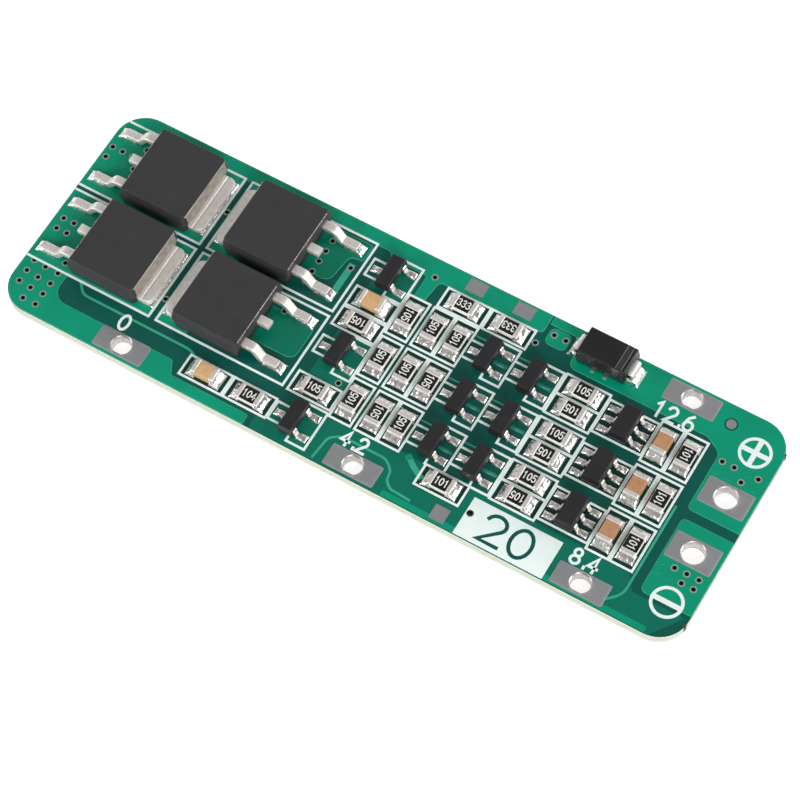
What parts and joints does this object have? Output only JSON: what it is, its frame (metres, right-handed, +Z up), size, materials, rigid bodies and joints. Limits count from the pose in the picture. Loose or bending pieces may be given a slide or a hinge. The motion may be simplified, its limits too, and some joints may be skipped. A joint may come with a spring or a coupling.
{
  "type": "battery management board",
  "caption": "Long green circuit board that balances and protects a three-cell pack, with power transistors, chip parts and plated solder terminals.",
  "frame": {"origin": "middle of the board's underside", "axes": "+X along the board towards the output terminals, +Y towards the back edge, +Z up out of the component side"},
  "size_m": [0.059, 0.0198, 0.0032],
  "materials": {
    "solder_mask": "green solder mask over glass-fibre laminate, satin gloss",
    "legend_ink": "white screen-printed ink",
    "via_metal": "tinned copper, dull",
    "terminal_tin": "levelled tin on copper, matte grey",
    "solder": "reflowed solder, bright and lumpy",
    "resistor_glaze": "black protective glaze",
    "alumina": "white fired alumina",
    "chip_end_metal": "tinned end caps, satin",
    "dielectric": "tan fired dielectric, smooth",
    "lead_metal": "tin-plated copper, satin",
    "moulding": "black epoxy moulding compound, fine matte"
  },
  "bodies": {
    "root": {"circuit_board": "solder_mask", "legend_print": "legend_ink", "via_barrels": "via_metal", "test_pads": "terminal_tin", "solder_joints": "solder", "resistor_glazes": "resistor_glaze", "return_terminal": "terminal_tin", "first_tap_terminal": "terminal_tin", "second_tap_terminal": "terminal_tin", "third_tap_terminal": "terminal_tin", "output_plus_terminal": "terminal_tin", "output_minus_terminal": "terminal_tin", "back_left_mosfet_body": "moulding", "back_left_mosfet_drain_tab": "lead_metal", "back_left_mosfet_leads": "lead_metal", "front_left_mosfet_body": "moulding", "front_left_mosfet_drain_tab": "lead_metal", "front_left_mosfet_leads": "lead_metal", "back_right_mosfet_body": "moulding", "back_right_mosfet_drain_tab": "lead_metal", "back_right_mosfet_leads": "lead_metal", "front_right_mosfet_body": "moulding", "front_right_mosfet_drain_tab": "lead_metal", "front_right_mosfet_leads": "lead_metal", "diode_body": "moulding", "diode_anode_lead": "lead_metal", "diode_cathode_lead": "lead_metal", "driver_bodies": "moulding", "driver_leads": "lead_metal", "driver_resistor_bodies": "alumina", "driver_resistor_ends": "chip_end_metal", "driver_capacitor_bodies": "dielectric", "driver_capacitor_ends": "chip_end_metal", "back_channel_transistor_bodies": "moulding", "back_channel_transistor_leads": "lead_metal", "back_channel_monitor_body": "moulding", "back_channel_monitor_leads": "lead_metal", "back_channel_resistor_bodies": "alumina", "back_channel_resistor_ends": "chip_end_metal", "back_channel_capacitor_body": "dielectric", "back_channel_capacitor_ends": "chip_end_metal", "middle_channel_transistor_bodies": "moulding", "middle_channel_transistor_leads": "lead_metal", "middle_channel_monitor_body": "moulding", "middle_channel_monitor_leads": "lead_metal", "middle_channel_resistor_bodies": "alumina", "middle_channel_resistor_ends": "chip_end_metal", "middle_channel_capacitor_body": "dielectric", "middle_channel_capacitor_ends": "chip_end_metal", "front_channel_transistor_bodies": "moulding", "front_channel_transistor_leads": "lead_metal", "front_channel_monitor_body": "moulding", "front_channel_monitor_leads": "lead_metal", "front_channel_resistor_bodies": "alumina", "front_channel_resistor_ends": "chip_end_metal", "front_channel_capacitor_body": "dielectric", "front_channel_capacitor_ends": "chip_end_metal"}
  },
  "joints": []
}
